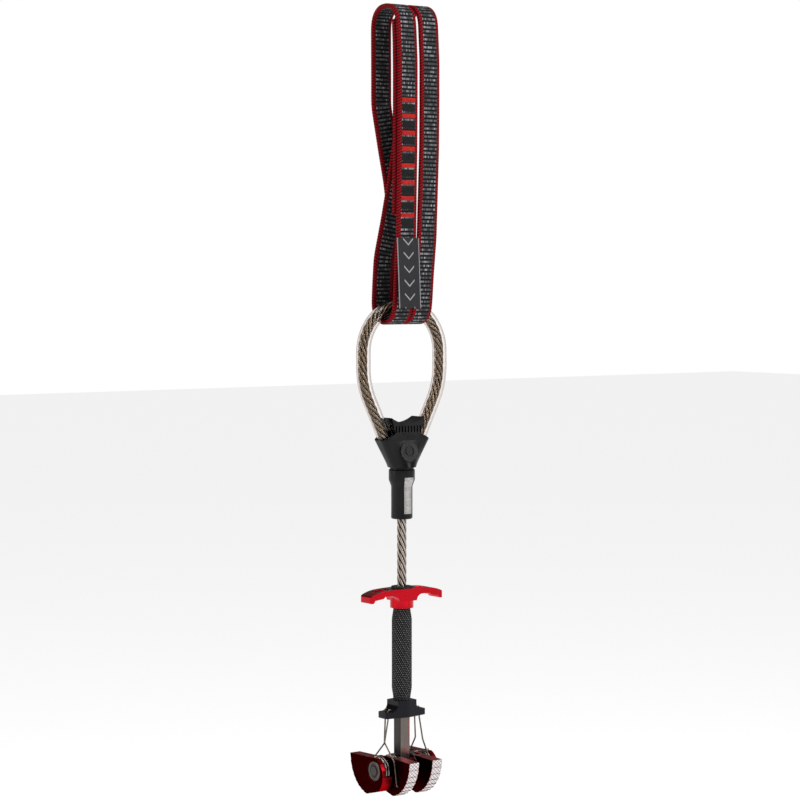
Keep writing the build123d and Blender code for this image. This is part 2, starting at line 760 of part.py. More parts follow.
sleeve_bottom = collar_top - sleeve_seat
sleeve_top = trigger_hub_bottom + sleeve_seat
with BuildPart() as braided_sleeve:
    with BuildSketch(Plane.XZ):
        with BuildLine():
            Polyline(
                (guide_outer_radius, up(sleeve_bottom)),
                (sleeve_end_radius, up(sleeve_bottom)),
                (sleeve_end_radius, up(collar_top)),
            )
            Spline(
                (sleeve_end_radius, up(collar_top)),
                (sleeve_mid_radius, up(collar_top + sleeve_neck)),
                tangents=[(0, 1), (0, 1)],
            )
            Line(
                (sleeve_mid_radius, up(collar_top + sleeve_neck)),
                (sleeve_mid_radius, up(trigger_hub_bottom - sleeve_neck)),
            )
            Spline(
                (sleeve_mid_radius, up(trigger_hub_bottom - sleeve_neck)),
                (sleeve_end_radius, up(trigger_hub_bottom)),
                tangents=[(0, 1), (0, 1)],
            )
            Polyline(
                (sleeve_end_radius, up(trigger_hub_bottom)),
                (sleeve_end_radius, up(sleeve_top)),
                (guide_outer_radius, up(sleeve_top)),
                (guide_outer_radius, up(sleeve_bottom)),
            )
        make_face()
    revolve(axis=Axis.Z)
finish(braided_sleeve, "braided_sleeve")


# ------------------------------------------------------------------ trigger wires
def make_wire(name, hole, side, into_lobe):
    # hole is the wire's place in the collar, side -1 or 1 along Y, into_lobe the foot's X direction
    hole_x, hole_y = hole
    end = math.copysign(1, hole_x)
    plane_x = end * wire_plane_x
    foot_y = side * wire_foot_y
    foot_x = plane_x + into_lobe * (wire_gap / 2 + wire_foot_length)
    # a staggered wire keeps its distance to the other one down to the shoulder
    shoulder_x = plane_x + hole_x - end * collar_hole_x
    hook_height = plate_top + wire_radius + wire_hook_lift
    with BuildLine() as route:
        FilletPolyline(
            (hole_x - end * wire_hook_length, hole_y, up(hook_height)),
            (hole_x, hole_y, up(hook_height)),
            (hole_x, hole_y, up(collar_bottom - wire_straight)),
            (shoulder_x, hole_y + side * wire_drift, up(wire_shoulder_height)),
            (plane_x, side * wire_elbow_y, up(wire_elbow_height)),
            (plane_x, foot_y, up(wire_foot_height)),
            (foot_x, foot_y, up(wire_foot_height)),
            radius=wire_bends,
        )
    line = route.wire()
    with BuildPart() as wire:
        with BuildSketch(Plane(origin=line @ 0, z_dir=line % 0)):
            Circle(wire_radius)
        sweep(path=line)
    finish(wire, name)


make_wire("trigger_wire_1", wire_holes[0], 1, -1)
make_wire("trigger_wire_2", wire_holes[1], -1, 1)
make_wire("trigger_wire_3", wire_holes[2], -1, -1)
make_wire("trigger_wire_4", wire_holes[3], 1, 1)

# ------------------------------------------------------------------ sling
bight_centre_radius = sling_bight_radius + webbing_thickness / 2
bight_low = loop_top - bight_centre_radius
sling_top = hang_height + webbing_thickness / 2
bight_y = bight_centre_radius + bight_slack
front_points = [(front_top_y, sling_top), *front_course]


def front_surface(height):
    # centre line of the front strands at one height, between their turns
    points = front_course + [(-bight_centre_radius, loop_top + bight_run)]
    for (upper_y, upper_h), (lower_y, lower_h) in zip(points, points[1:]):
        if lower_h <= height <= upper_h:
            share = (height - lower_h) / (upper_h - lower_h)
            return lower_y + share * (upper_y - lower_y)
    return points[0][0]


def turn_band(back_top_y, back_low_y):
    # one turn's webbing from the top of its back strand, over the top, down the front,
    # round the thumb loop and back up to the foot of the other back strand
    front = [(y, up(height)) for y, height in front_points]
    with BuildLine() as band:
        FilletPolyline(
            (back_top_y, up(sling_cross_top)),
            (back_top_y, up(sling_cross_top + sling_back_rise)),
            (sling_back_top_y, up(sling_top)),
            *front,
            (-bight_y, up(loop_top + bight_run)),
            (-bight_y, up(bight_low)),
            (bight_y, up(bight_low)),
            (bight_y, up(loop_top + bight_run)),
            (back_low_y, up(sling_cross_bottom - sling_foot_run)),
            (back_low_y, up(sling_cross_bottom)),
            radius=[*top_bends, bight_centre_radius, bight_centre_radius, *foot_bends],
        )
    trace(band.edges(), line_width=webbing_thickness)


def cross_strand(start_x, start_y, middle_y, end_y):
    # a back strand from one turn's top to the other turn's foot
    middle = (sling_cross_top + sling_cross_bottom) / 2
    stations = [
        (sling_cross_top, start_x, start_y),
        (middle, 0.0, middle_y),
        (sling_cross_bottom, -start_x, end_y),
    ]
    sections = []
    for height, x, y in stations:
        with BuildSketch(Plane.XY.offset(up(height))) as section:
            with Locations((x, y)):
                Rectangle(webbing_width, webbing_thickness)
        sections.append(section.sketch)
    loft(sections=sections, ruled=True)


turn_centre = (webbing_width + turn_gap) / 2

with BuildPart() as sling_webbing:
    with BuildSketch(Plane.YZ.offset(-turn_centre - webbing_width / 2)):
        turn_band(strand_near_y, strand_far_low_y)
    extrude(amount=webbing_width)
    with BuildSketch(Plane.YZ.offset(turn_centre - webbing_width / 2)):
        turn_band(strand_far_y, strand_near_low_y)
    extrude(amount=webbing_width)
    cross_strand(-turn_centre, strand_near_y, middle_y_of_minus_turn, strand_near_low_y)
    cross_strand(turn_centre, strand_far_y, middle_y_of_plus_turn, strand_far_low_y)
    with BuildSketch(Plane.YZ.offset(-turn_centre - webbing_width / 2)):
        with BuildLine():
            lap_heights = (lap_top, lap_bend_height, lap_bottom)
            Polyline(*[(front_surface(height) + webbing_thickness, up(height)) for height in lap_heights])
        trace(line_width=webbing_thickness)
    extrude(amount=webbing_width)
finish(sling_webbing, "sling_webbing")

with BuildPart() as bar_tacks:
    for index in range(tack_count):
        height = tack_top - index * tack_pitch
        face_y = front_surface(height) - webbing_thickness / 2
        with BuildSketch(Plane.XZ.offset(-face_y - tack_sunk)):
            with Locations((-turn_centre, up(height))):
                RectangleRounded(tack_width, tack_height, tack_corner)
        extrude(amount=tack_sunk + tack_proud)
finish(bar_tacks, "bar_tacks")

tag_face_y = front_surface(tag_top) - webbing_thickness / 2
with BuildPart() as sling_tag:
    with BuildSketch(Plane.XZ.offset(-tag_face_y)):
        with BuildLine():
            Polyline(
                (-turn_centre - tag_width / 2, up(tag_top)),
                (-turn_centre + tag_width / 2, up(tag_top)),
                (-turn_centre + tag_width / 2 + tag_lean, up(tag_bottom)),
                (-turn_centre - tag_width / 2 + tag_lean, up(tag_bottom)),
                close=True,
            )
        make_face()
    extrude(amount=tag_thickness)
finish(sling_tag, "sling_tag")
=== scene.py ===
import math

import bmesh
import bpy
import numpy as np
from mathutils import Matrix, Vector


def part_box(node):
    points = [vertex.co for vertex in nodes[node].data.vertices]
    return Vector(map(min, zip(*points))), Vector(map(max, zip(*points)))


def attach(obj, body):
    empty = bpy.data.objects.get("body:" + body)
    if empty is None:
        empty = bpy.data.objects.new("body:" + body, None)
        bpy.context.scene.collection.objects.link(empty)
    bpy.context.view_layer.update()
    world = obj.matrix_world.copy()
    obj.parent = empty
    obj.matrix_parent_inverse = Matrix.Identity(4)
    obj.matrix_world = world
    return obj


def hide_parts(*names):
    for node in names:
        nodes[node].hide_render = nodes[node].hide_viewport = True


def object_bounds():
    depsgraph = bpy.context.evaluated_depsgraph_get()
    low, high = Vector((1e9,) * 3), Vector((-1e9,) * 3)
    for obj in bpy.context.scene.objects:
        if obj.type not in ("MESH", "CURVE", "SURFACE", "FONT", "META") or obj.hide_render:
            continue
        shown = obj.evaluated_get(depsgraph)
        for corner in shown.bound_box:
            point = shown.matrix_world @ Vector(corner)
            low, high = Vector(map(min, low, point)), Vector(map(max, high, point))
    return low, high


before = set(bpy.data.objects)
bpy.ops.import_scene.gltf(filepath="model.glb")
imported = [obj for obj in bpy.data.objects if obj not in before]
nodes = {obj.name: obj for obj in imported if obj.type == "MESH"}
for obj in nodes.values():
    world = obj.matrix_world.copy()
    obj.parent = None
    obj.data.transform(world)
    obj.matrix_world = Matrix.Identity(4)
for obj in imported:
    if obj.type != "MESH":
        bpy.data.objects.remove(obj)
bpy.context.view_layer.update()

MM = 0.001
TAU = 2 * math.pi
DATUM_ABOVE_AXLE = 1.9

# ---------------------------------------------------------------- anchors from the frame
axle_low, axle_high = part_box("axle")
axle = (axle_low + axle_high) / 2
datum = axle.z + DATUM_ABOVE_AXLE * MM


def at(x, y, height):
    """A point from millimetres: height is above the datum, just over the axle."""
    return np.array((x * MM, y * MM, datum + height * MM))


def height_of(z):
    return (z - datum) / MM


# ---------------------------------------------------------------- materials
MIX_FACTOR, MIX_FIRST, MIX_SECOND, MIX_COLOUR = 0, 6, 7, 2  # the Mix node's sockets for colours
NOISE_LOW, NOISE_HIGH = 0.3, 0.7  # the band that holds most of a noise
ANODISED_GRAIN = 0.006 * MM


class Shader:
    """A node material with short helpers for building procedural inputs."""

    def __init__(self, name, colour=(0.5, 0.5, 0.5), metallic=0.0, roughness=0.5):
        self.material = bpy.data.materials.new(name)
        self.material.use_nodes = True
        self.tree = self.material.node_tree
        self.bsdf = self.tree.nodes["Principled BSDF"]
        self.set("Base Color", (*colour, 1.0))
        self.set("Metallic", metallic)
        self.set("Roughness", roughness)
        self.material.diffuse_color = (*colour, 1.0)

    def set(self, socket, value):
        self.bsdf.inputs[socket].default_value = value

    def node(self, kind, **settings):
        made = self.tree.nodes.new(kind)
        for key, value in settings.items():
            setattr(made, key, value)
        return made

    def feed(self, socket, value):
        if isinstance(value, bpy.types.NodeSocket):
            self.tree.links.new(value, socket)
        elif isinstance(value, tuple) and len(value) == 3 and socket.type == "RGBA":
            socket.default_value = (*value, 1.0)
        else:
            socket.default_value = value

    def math(self, operation, *values, clamp=False):
        made = self.node("ShaderNodeMath", operation=operation, use_clamp=clamp)
        for socket, value in zip(made.inputs, values):
            self.feed(socket, value)
        return made.outputs[0]

    def mix(self, factor, first, second):
        made = self.node("ShaderNodeMix", data_type="RGBA")
        self.feed(made.inputs[MIX_FACTOR], factor)
        self.feed(made.inputs[MIX_FIRST], first)
        self.feed(made.inputs[MIX_SECOND], second)
        return made.outputs[MIX_COLOUR]

    def ramp(self, value, low, high, to_low=0.0, to_high=1.0):
        made = self.node("ShaderNodeMapRange", interpolation_type="SMOOTHSTEP")
        for socket, item in zip(made.inputs, (value, low, high, to_low, to_high)):
            self.feed(socket, item)
        return made.outputs[0]

    def contrast(self, noise, to_low=0.0, to_high=1.0):
        return self.ramp(noise, NOISE_LOW, NOISE_HIGH, to_low, to_high)

    def noise(self, vector, scale, detail=2.0):
        made = self.node("ShaderNodeTexNoise")
        self.feed(made.inputs["Vector"], vector)
        self.feed(made.inputs["Scale"], scale)
        self.feed(made.inputs["Detail"], detail)
        return made.outputs["Fac"]

    def position(self):
        made = self.node("ShaderNodeTexCoord")
        return made.outputs["Object"]

    def normal(self):
        made = self.node("ShaderNodeTexCoord")
        return made.outputs["Normal"]

    def uv(self):
        made = self.node("ShaderNodeUVMap")
        return made.outputs[0]

    def split(self, vector):
        made = self.node("ShaderNodeSeparateXYZ")
        self.feed(made.inputs[0], vector)
        return made.outputs[0], made.outputs[1], made.outputs[2]

    def join(self, x, y, z):
        made = self.node("ShaderNodeCombineXYZ")
        for socket, value in zip(made.inputs, (x, y, z)):
            self.feed(socket, value)
        return made.outputs[0]

    def scaled(self, vector, factors):
        made = self.node("ShaderNodeVectorMath", operation="MULTIPLY")
        self.feed(made.inputs[0], vector)
        made.inputs[1].default_value = factors
        return made.outputs[0]

    def colour(self, value):
        self.feed(self.bsdf.inputs["Base Color"], value)

    def rough(self, value):
        self.feed(self.bsdf.inputs["Roughness"], value)

    def bump(self, height, distance, strength=1.0):
        made = self.node("ShaderNodeBump")
        self.feed(made.inputs["Height"], height)
        self.feed(made.inputs["Distance"], distance)
        self.feed(made.inputs["Strength"], strength)
        self.feed(self.bsdf.inputs["Normal"], made.outputs[0])


def anodised(name, colour, roughness, metallic):
    made = Shader(name, colour, metallic, roughness)
    place = made.position()
    mottling = made.noise(place, 2400.0, 2.0)
    broad = made.noise(place, 60.0, 2.0)
    darker = tuple(c * 0.9 for c in colour)
    made.colour(made.mix(made.contrast(broad), darker, colour))
    made.rough(made.contrast(mottling, roughness - 0.03, roughness + 0.05))
    made.bump(mottling, ANODISED_GRAIN)
    return made


def moulded(name, colour, roughness):
    made = Shader(name, colour, 0.0, roughness)
    made.set("Specular IOR Level", 0.2)
    place = made.position()
    fine = made.noise(place, 2600.0, 2.0)
    broad = made.noise(place, 130.0, 3.0)
    made.rough(made.contrast(broad, roughness - 0.08, roughness + 0.1))
    made.bump(made.math("ADD", fine, made.math("MULTIPLY", broad, 1.5)), 0.03 * MM)
    return made


def lobe_material():
    """Red anodised aluminium with painted shade and highlight: the flat sides are painted darker, the hub's
    rim brighter, and the flat top edge gets a painted pink highlight.
    """
    made = Shader("lobe_anodised", (0.3, 0.01, 0.02), 1.0, 0.33)
    made.set("Specular Tint", (0.5, 0.05, 0.07, 1.0))
    nx, _, nz = made.split(made.normal())
    # painted shade: faces across the axle get a darker red, and faces pointing up get a painted pink
    # highlight
    side = made.ramp(made.math("ABSOLUTE", nx), 0.6, 0.9)
    top_highlight_mask = made.ramp(nz, 0.9, 0.985)
    place = made.position()
    brushed = made.noise(made.scaled(place, (120.0, 900.0, 900.0)), 1.0, 3.0)
    edge_red = made.mix(made.contrast(brushed), (0.25, 0.004, 0.008), (0.38, 0.009, 0.014))
    shaded_side_red = made.mix(made.contrast(brushed), (0.017, 0.0012, 0.0022), (0.03, 0.0025, 0.004))
    edge = made.mix(top_highlight_mask, edge_red, (0.9, 0.5, 0.5))
    made.colour(made.mix(side, edge, shaded_side_red))
    made.rough(made.contrast(brushed, 0.27, 0.4))
    made.bump(brushed, 0.02 * MM)
    return made


def knurl_material():
    """Bare silver peaks over grooves painted darker as painted shade. U is 0 in the grooves and 1 on the
    peaks.
    """
    made = Shader("knurled_face", (0.8, 0.79, 0.78), 0.75, 0.38)
    height, _, _ = made.split(made.uv())
    # painted shade: the grooves are painted a dark reddish grey, the peaks silver
    groove_shade = made.ramp(height, 0.0, 1.0)
    grain = made.noise(made.position(), 3000.0, 2.0)
    silver = made.mix(grain, (0.7, 0.68, 0.68), (0.92, 0.91, 0.91))
    made.colour(made.mix(groove_shade, (0.2, 0.14, 0.14), silver))
    made.rough(made.contrast(grain, 0.3, 0.46))
    return made


def steel(name, colour, roughness, stretch=(1.0, 1.0, 1.0), metallic=0.95):
    made = Shader(name, colour, metallic, roughness)
    streaks = made.noise(made.scaled(made.position(), stretch), 1.0, 3.0)
    darker = tuple(c * 0.72 for c in colour)
    made.colour(made.mix(made.contrast(streaks), darker, colour))
    made.rough(made.contrast(streaks, roughness - 0.05, roughness + 0.08))
    return made


def strand_material(name, valley_shade, crest):
    """Stranded steel, with the valleys between the strands painted dark as painted shade. U is 0 in the
    valleys between the strands and 1 on their crests.
    """
    made = Shader(name, crest, 0.95, 0.36)
    height, _, _ = made.split(made.uv())
    # painted shade: the strands darken towards the valleys between them
    made.colour(made.mix(made.ramp(height, 0.3, 0.95), valley_shade, crest))
    return made


TURNED_PITCH = 0.28 * MM
RECESS_INNER, RECESS_OUTER = 3.3 * MM, 3.8 * MM


def turned_disc_material():
    """Turned rings round the axle's line, with the recess painted darker as painted shade."""
    made = Shader("turned_head", (0.3, 0.27, 0.26), 1.0, 0.25)
    _, y, z = made.split(made.position())
    lifted = made.math("SUBTRACT", z, axle.z)
    squares = made.math("ADD", made.math("MULTIPLY", y, y), made.math("MULTIPLY", lifted, lifted))
    radius = made.math("SQRT", squares)
    fine = made.math("SINE", made.math("MULTIPLY", radius, TAU / TURNED_PITCH))
    # painted shade: darker inside the recess, lighter outside it
    recess_shade = made.ramp(radius, RECESS_INNER, RECESS_OUTER)
    made.colour(made.mix(recess_shade, (0.03, 0.023, 0.02), (0.09, 0.075, 0.066)))
    made.bump(fine, 0.015 * MM)
    return made


def webbing_material():
    """Charcoal and light grey weave between red selvedges, with painted shade in the valleys between the
    rows. UV is millimetres across and along.
    """
    made = Shader("webbing", (0.1, 0.1, 0.1), 0.0, 0.72)
    made.set("Specular IOR Level", 0.1)
    across, along, _ = made.split(made.uv())
    centred = made.math("ABSOLUTE", made.math("SUBTRACT", across, HALF_WIDTH))
    selvedge = made.ramp(centred, FACE_HALF - 0.1, FACE_HALF + 0.1)
    row = made.math("DIVIDE", along, ROW_PITCH)
    column = made.math("DIVIDE", across, YARN_PITCH)
    row_wave = made.math("ABSOLUTE", made.math("SINE", made.math("MULTIPLY", row, math.pi)))
    column_wave = made.math("ABSOLUTE", made.math("SINE", made.math("MULTIPLY", column, math.pi)))
    cell = made.join(made.math("FLOOR", column), made.math("FLOOR", row), 0.0)
    random = made.node("ShaderNodeTexWhiteNoise", noise_dimensions="3D")
    made.feed(random.inputs[0], cell)
    patches = made.noise(made.join(across, made.math("MULTIPLY", along, 0.5), 0.0), 0.16, 2.0)
    light = made.math("MULTIPLY", made.ramp(row_wave, 0.55, 0.95), made.ramp(column_wave, 0.35, 0.85))
    light = made.math("MULTIPLY", light, made.ramp(random.outputs[0], 0.1, 1.0, 0.05, 1.0))
    light = made.math("MULTIPLY", light, made.ramp(patches, 0.4, 0.62, 0.25, 1.0))
    # painted shade: nearly black in the valleys between the rows, grey on their crests
    rib_shade = made.mix(made.ramp(row_wave, 0.2, 0.9), (0.003, 0.003, 0.003), (0.034, 0.034, 0.037))
    face = made.mix(light, rib_shade, (0.5, 0.51, 0.54))
    knots = made.math("MULTIPLY", along, TAU / KNOT_PITCH)
    twill = made.math("SINE", made.math("ADD", knots, made.math("MULTIPLY", across, TWILL_SLANT)))
    fibre_place = made.join(made.math("MULTIPLY", across, 9.0), made.math("MULTIPLY", along, 2.2), 0.0)
    fibre = made.noise(fibre_place, 1.0, 3.0)
    red = made.mix(made.ramp(twill, -0.5, 0.8), (0.03, 0.001, 0.002), (0.4, 0.006, 0.012))
    red = made.mix(made.ramp(fibre, 0.35, 0.75, 0.0, 0.45), red, (0.14, 0.002, 0.005))
    made.colour(made.mix(selvedge, face, red))
    made.bump(made.math("ADD", fibre, made.math("MULTIPLY", light, 0.6)), 0.12 * MM)
    return made


def thread_material(name, dark, bright):
    made = Shader(name, bright, 0.0, 0.5)
    made.set("Specular IOR Level", 0.15)
    fibre = made.noise(made.scaled(made.position(), (5200.0, 900.0, 700.0)), 1.0, 3.0)
    made.colour(made.mix(made.contrast(fibre), dark, bright))
    made.bump(fibre, 0.05 * MM)
    return made


def braid_material():
    """Black braid with a painted pale grey highlight on each strand's crest, strongest where it crosses
    over. U is the strand's lift, V is 1 where it crosses over.
    """
    made = Shader("braid", (0.02, 0.02, 0.02), 0.0, 0.5)
    made.set("Specular IOR Level", 0.12)
    lift, over, _ = made.split(made.uv())
    fibre = made.noise(made.position(), 4200.0, 2.0)
    # painted highlight: the crests of the strands are painted pale grey
    light = made.math("MULTIPLY", made.ramp(lift, 0.72, 0.9), made.ramp(over, 0.0, 1.0, 0.55, 1.0))
    made.colour(made.mix(light, (0.004, 0.004, 0.005), (0.38, 0.37, 0.38)))
    made.bump(fibre, 0.04 * MM)
    return made


def clear_material():
    """Clear tube, brownish where it is seen edge on."""
    made = Shader("clear_tube", (0.97, 0.95, 0.92), 0.0, 0.02)
    made.set("Transmission Weight", 1.0)
    made.set("IOR", 1.25)
    edge = made.node("ShaderNodeLayerWeight")
    made.feed(edge.inputs["Blend"], 0.5)
    edge_on = made.ramp(edge.outputs["Facing"], 0.4, 0.75)
    made.colour(made.mix(edge_on, (0.97, 0.96, 0.95), (0.3, 0.17, 0.12)))
    return made


# ---------------------------------------------------------------- mesh helpers
def mesh_piece(name, vertices, faces, shader, uvs=None, smooth=True):
    mesh = bpy.data.meshes.new(name)
    mesh.from_pydata([tuple(v) for v in vertices], [], [tuple(f) for f in faces])
    if smooth:
        mesh.shade_smooth()
    if uvs is not None:
        layer = mesh.uv_layers.new(name="UVMap")
        index = np.empty(len(mesh.loops), dtype=np.int32)
        mesh.loops.foreach_get("vertex_index", index)
        layer.data.foreach_set("uv", np.asarray(uvs, dtype=np.float32)[index].ravel())
    mesh.materials.append(shader.material)
    made = bpy.data.objects.new(name, mesh)
    bpy.context.scene.collection.objects.link(made)
    return made


def grid_faces(rows, columns, wrap_rows=False, wrap_columns=False, first=0):
    faces = []
    for i in range(rows if wrap_rows else rows - 1):
        for j in range(columns if wrap_columns else columns - 1):
            a = first + i * columns + j
            b = first + i * columns + (j + 1) % columns
            c = first + ((i + 1) % rows) * columns + (j + 1) % columns
            d = first + ((i + 1) % rows) * columns + j
            faces.append((a, b, c, d))
    return faces


def resample(points, step, closed=False, smoothing=0.0):
    """Evenly spaced points along a polyline, rounded off over the smoothing length."""
    line = np.asarray(points, dtype=float)
    if closed:
        line = np.vstack([line, line[:1]])
    lengths = np.concatenate([[0.0], np.cumsum(np.linalg.norm(np.diff(line, axis=0), axis=1))])
    count = max(8, int(round(lengths[-1] / step)))
    stations = np.linspace(0.0, lengths[-1], count, endpoint=not closed)
    even = np.stack([np.interp(stations, lengths, line[:, k]) for k in range(3)], axis=1)
    if smoothing:
        reach = int(3 * smoothing / step)
        offsets = np.arange(-reach, reach + 1)
        weights = np.exp(-0.5 * (offsets * step / smoothing) ** 2)
        weights /= weights.sum()
        if closed:
            padded = np.vstack([even[-reach:], even, even[:reach]])
        else:
            head = 2 * even[0] - even[1:reach + 1][::-1]
            tail = 2 * even[-1] - even[-reach - 1:-1][::-1]
            padded = np.vstack([head, even, tail])
        even = np.stack([np.convolve(padded[:, k], weights, mode="valid") for k in range(3)], axis=1)
    return even


def tangents_of(points, closed=False):
    if closed:
        run = np.roll(points, -1, axis=0) - np.roll(points, 1, axis=0)
    else:
        run = np.gradient(points, axis=0)
    return run / np.linalg.norm(run, axis=1)[:, None]


def tube_rings(points, radius, sides, first=0, cap=True):
    """Vertices and faces of a round tube that follows points."""
    points = np.asarray(points, dtype=float)
    runs = tangents_of(points)
    guide = np.array((0.0, 1.0, 0.0)) if abs(runs[0][1]) < 0.9 else np.array((1.0, 0.0, 0.0))
    vertices = []
    for centre, run in zip(points, runs):
        guide = guide - run * np.dot(guide, run)
        guide /= np.linalg.norm(guide)
        other = np.cross(run, guide)
        for side in range(sides):
            angle = TAU * side / sides
            vertices.append(centre + radius * (math.cos(angle) * guide + math.sin(angle) * other))
    faces = grid_faces(len(points), sides, wrap_columns=True, first=first)
    if cap:
        faces.append(tuple(first + side for side in range(sides))[::-1])
        last = first + (len(points) - 1) * sides
        faces.append(tuple(last + side for side in range(sides)))
    return vertices, faces


def frames_along(points):
    runs = tangents_of(points)
    guide = np.array((0.0, 1.0, 0.0))
    normals = []
    for run in runs:
        guide = guide - run * np.dot(guide, run)
        guide /= np.linalg.norm(guide)
        normals.append(guide.copy())
    normals = np.array(normals)
    return normals, np.cross(runs, normals)


STRAND_SIDES, CORE_SIDES = 12, 16
CORE_SINK = 0.2  # how far the core stays below the strands' centres, of a strand's radius


def twisted_cable(name, points, radius, wires, wire_radius, lay, shader):
    """A core and a layer of round strands laid round it. U is 0 in the valleys and 1 on the crests."""
    step = np.linalg.norm(points[1] - points[0])
    normals, others = frames_along(points)
    vertices, faces, uvs = [], [], []
    orbit = radius - wire_radius
    for wire in range(wires):
        phase = TAU * wire / wires - TAU * np.arange(len(points)) * step / lay
        offset = np.cos(phase)[:, None] * normals + np.sin(phase)[:, None] * others
        made, made_faces = tube_rings(points + orbit * offset, wire_radius, STRAND_SIDES, len(vertices))
        out = np.linalg.norm(np.array(made) - np.repeat(points, STRAND_SIDES, axis=0), axis=1)
        uvs += [((d - orbit) / wire_radius, 0.0) for d in out]
        vertices += made
        faces += made_faces
    made, made_faces = tube_rings(points, orbit - wire_radius * CORE_SINK, CORE_SIDES, len(vertices))
    vertices += made
    faces += made_faces
    uvs += [(0.0, 0.0)] * len(made)
    return mesh_piece(name, vertices, faces, shader, uvs)


MERGE_DISTANCE = 0.002 * MM
FLAT_ANGLE = math.radians(0.4)
SHARP_ANGLE = math.radians(28.0)


def refined(node, name, shader, bevel, segments=3):
    """A copy of a CAD node with merged vertices, rounded edges and smooth curved faces."""
    mesh = bpy.data.meshes.new(name)
    work = bmesh.new()
    work.from_mesh(nodes[node].data)
    bmesh.ops.remove_doubles(work, verts=work.verts, dist=MERGE_DISTANCE)
    bmesh.ops.dissolve_limit(work, angle_limit=FLAT_ANGLE, verts=work.verts, edges=work.edges)
    for face in work.faces:
        face.smooth = True
    work.to_mesh(mesh)
    work.free()
    mesh.materials.append(shader.material)
    made = bpy.data.objects.new(name, mesh)
    bpy.context.scene.collection.objects.link(made)
    rounding = made.modifiers.new("rounding", "BEVEL")
    rounding.width = bevel * MM
    rounding.segments = segments
    rounding.limit_method = "ANGLE"
    rounding.angle_limit = SHARP_ANGLE
    rounding.harden_normals = True
    rounding.use_clamp_overlap = True
    mesh.set_sharp_from_angle(angle=SHARP_ANGLE)
    return made


def repaint(node, shader):
    nodes[node].data.materials.clear()
    nodes[node].data.materials.append(shader.material)


# ---------------------------------------------------------------- sling
# millimetres, heights above the datum
HALF_WIDTH = 6.0
FACE_HALF = 4.1
ROW_PITCH = 2.05
YARN_PITCH = 0.9
KNOT_PITCH = 1.45
TWILL_SLANT = 2.6
WEB_THICKNESS = 2.0
EDGE_ROUND = 0.75
FACE_STEPS, EDGE_STEPS = 34, 6
ROW_BULGE, YARN_BULGE, FACE_SINK = 0.2, 0.05, 0.15
KNOT_BULGE, EDGE_SINK, KNOT_SPREAD = 0.13, 0.03, 0.12
LOOP_AXIS = 238.0
LOOP_PEAK = 390.0
PEAK_RADIUS = 9.5
SEAT_RADIUS = 9.3
TURN_BOTTOM_X = 6.2
TURN_TOP_X = 6.9
SPREAD_FROM, SPREAD_OVER = 240.0, 80.0


def arc(centre_y, centre_h, radius, start, end, steps=10):
    """Points (y, height) on an arc between two angles in degrees."""
    angles = [math.radians(start + (end - start) * k / steps) for k in range(steps + 1)]
    return [(centre_y + radius * math.cos(a), centre_h + radius * math.sin(a)) for a in angles]


def turn_line(sign, back_top_y, back_low_y):
    """One turn of the sling as (x, y, height): over the top, down the front and round the thumb loop."""
    line = [(back_top_y, 340.0), (back_top_y, 356.0), (8.6, 374.0)]
    line += arc(-0.9, LOOP_PEAK - PEAK_RADIUS, PEAK_RADIUS, 0, 90)
    line += arc(-3.7, LOOP_PEAK - PEAK_RADIUS, PEAK_RADIUS, 90, 180)
    line += [(-14.4, 362.0), (-14.4, 340.0), (-14.2, 318.0), (-13.4, 295.0), (-12.6, 272.0), (-10.6, 254.0)]
    line += arc(0.0, LOOP_AXIS, SEAT_RADIUS, 180, 360)
    line += [(8.4, 250.0), (back_low_y, 262.0)]
    placed = []
    for y, height in line:
        share = min(1.0, max(0.0, (height - SPREAD_FROM) / SPREAD_OVER))
        x = sign * (TURN_BOTTOM_X + (TURN_TOP_X - TURN_BOTTOM_X) * share)
        placed.append((x, y, height))
    return placed


def sling_line():
    """The whole sling's centre line: the near turn, the far turn and the two crossings behind."""
    near = turn_line(-1, 8.5, 7.1)
    far = turn_line(1, 5.9, 9.9)
    to_far = [(-3.0, 5.4, 282.0), (0.0, 4.2, 301.0), (3.4, 4.6, 320.0)]
    to_near = [(3.4, 8.4, 282.0), (0.0, 7.4, 301.0), (-3.6, 7.8, 320.0)]
    return [at(*p) for p in near + to_far + far + to_near]


def web_section():
    """Points (across, out) round the webbing's cross-section, in millimetres."""
    half = WEB_THICKNESS / 2
    flat = HALF_WIDTH - EDGE_ROUND
    ring = []
    for side in (1, -1):
        for k in range(FACE_STEPS + 1):
            ring.append((side * (-flat + 2 * flat * k / FACE_STEPS), side * half))
        for k in range(1, EDGE_STEPS):
            angle = side * math.pi / 2 - math.pi * k / EDGE_STEPS
            ring.append((side * flat + EDGE_ROUND * math.cos(angle), half * math.sin(angle)))
    return ring


